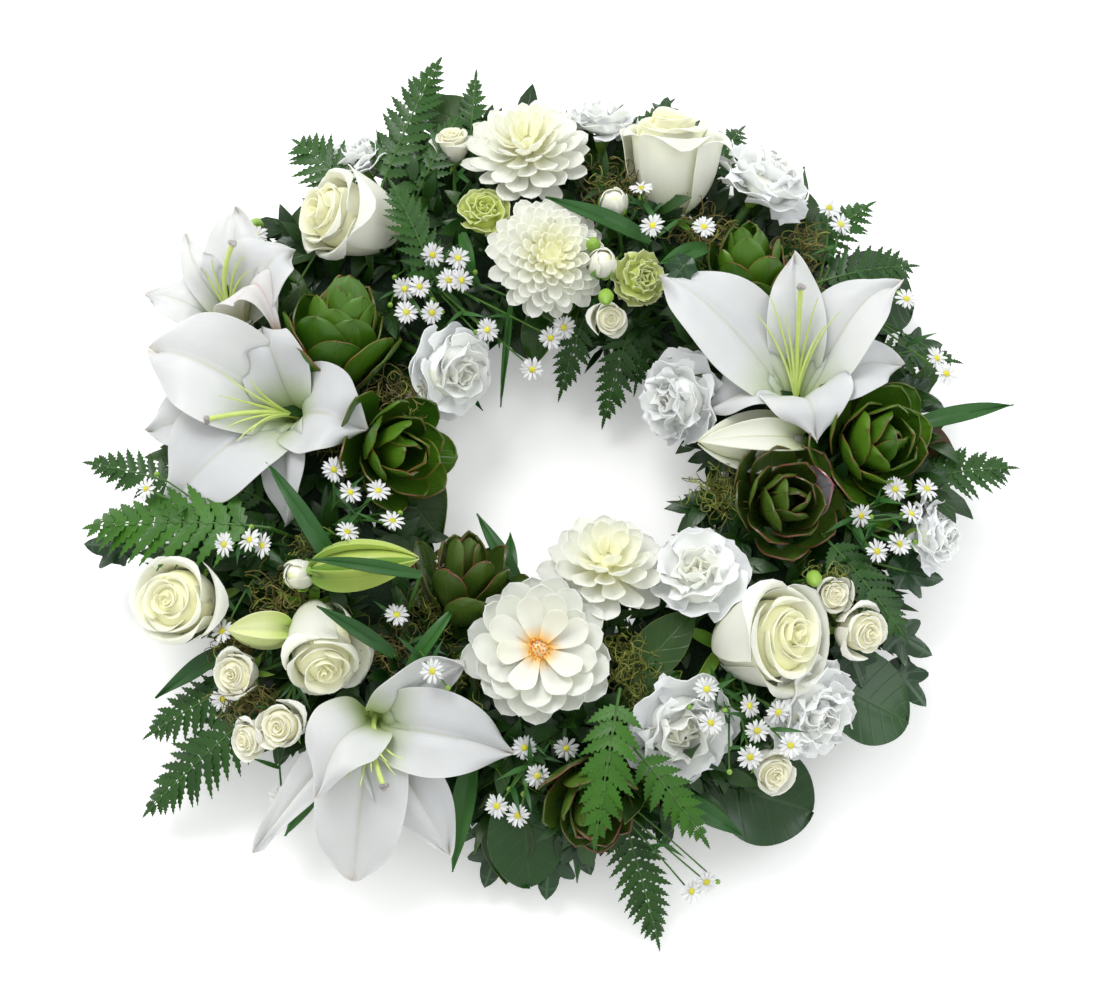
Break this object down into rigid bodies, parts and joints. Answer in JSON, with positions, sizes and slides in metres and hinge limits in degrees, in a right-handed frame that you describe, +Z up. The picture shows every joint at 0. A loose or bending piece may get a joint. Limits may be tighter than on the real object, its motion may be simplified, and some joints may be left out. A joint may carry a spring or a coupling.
{
  "type": "funeral wreath",
  "caption": "Round wreath of white and green fresh flowers and foliage, each stem in a ring of floral foam in a shallow tray.",
  "frame": {"origin": "middle of the footprint of the whole wreath, on the surface the tray rests on", "axes": "+Z up out of the tray, +Y towards the top of the wreath as pictured, +X to its right"},
  "size_m": [0.513, 0.4898, 0.1395],
  "materials": {
    "white_petal": "soft satin white petal",
    "ivory_petal": "soft ivory petal",
    "cream_petal": "soft cream petal",
    "bud_green": "pale green bud",
    "lime_petal": "yellow-green frilled petal",
    "green_bract": "waxy olive green bract",
    "purple_bract": "waxy bract flushed with purple",
    "dark_leaf": "dark green leaf with a slight sheen",
    "bright_leaf": "mid green fern",
    "foam": "matt green floral foam",
    "tray": "dark green plastic"
  },
  "bodies": {
    "root": {"lily_left": "white_petal", "lily_right": "white_petal", "lily_bottom": "white_petal", "lily_upper_left": "white_petal", "rose_upper_left": "ivory_petal", "rose_top": "ivory_petal", "rose_left": "ivory_petal", "rose_lower_left": "ivory_petal", "rose_lower_right": "ivory_petal", "dahlia_top": "ivory_petal", "dahlia_pompon": "ivory_petal", "dahlia_open": "white_petal", "dahlia_inner": "cream_petal", "lisianthus_inner_left": "white_petal", "lisianthus_inner_right": "white_petal", "lisianthus_lower": "white_petal", "lily_bud_green": "bud_green", "lily_bud_white": "white_petal", "lisianthus_bud": "lime_petal", "leucadendron_upper_left": "green_bract", "leucadendron_inner_left": "green_bract", "leucadendron_upper_right": "green_bract", "leucadendron_right": "green_bract", "leucadendron_purple": "purple_bract", "leucadendron_lower_left": "green_bract", "leucadendron_bottom": "green_bract", "green_carnation_left": "lime_petal", "green_carnation_right": "lime_petal", "carnation_upper_right": "white_petal", "carnation_inner_right": "white_petal", "carnation_lower_right": "white_petal", "carnation_right": "white_petal", "carnation_upper_left": "white_petal", "carnation_top": "white_petal", "spray_rose_left": "cream_petal", "spray_rose_top": "cream_petal", "spray_rose_right": "cream_petal", "spray_rose_lower_right": "cream_petal", "spray_rose_upper_left": "cream_petal", "asters_upper_left": "white_petal", "asters_left": "white_petal", "asters_far_left": "white_petal", "asters_top": "white_petal", "asters_bottom": "white_petal", "asters_lower_right": "white_petal", "asters_right": "white_petal", "asters_upper_right": "white_petal", "foliage_outer_1": "dark_leaf", "foliage_outer_2": "dark_leaf", "foliage_outer_3": "dark_leaf", "foliage_outer_4": "dark_leaf", "foliage_outer_5": "bright_leaf", "foliage_outer_6": "dark_leaf", "foliage_outer_7": "dark_leaf", "foliage_outer_8": "dark_leaf", "foliage_outer_9": "dark_leaf", "foliage_inner_1": "dark_leaf", "foliage_inner_2": "dark_leaf", "foam": "foam", "tray": "tray"}
  },
  "joints": []
}
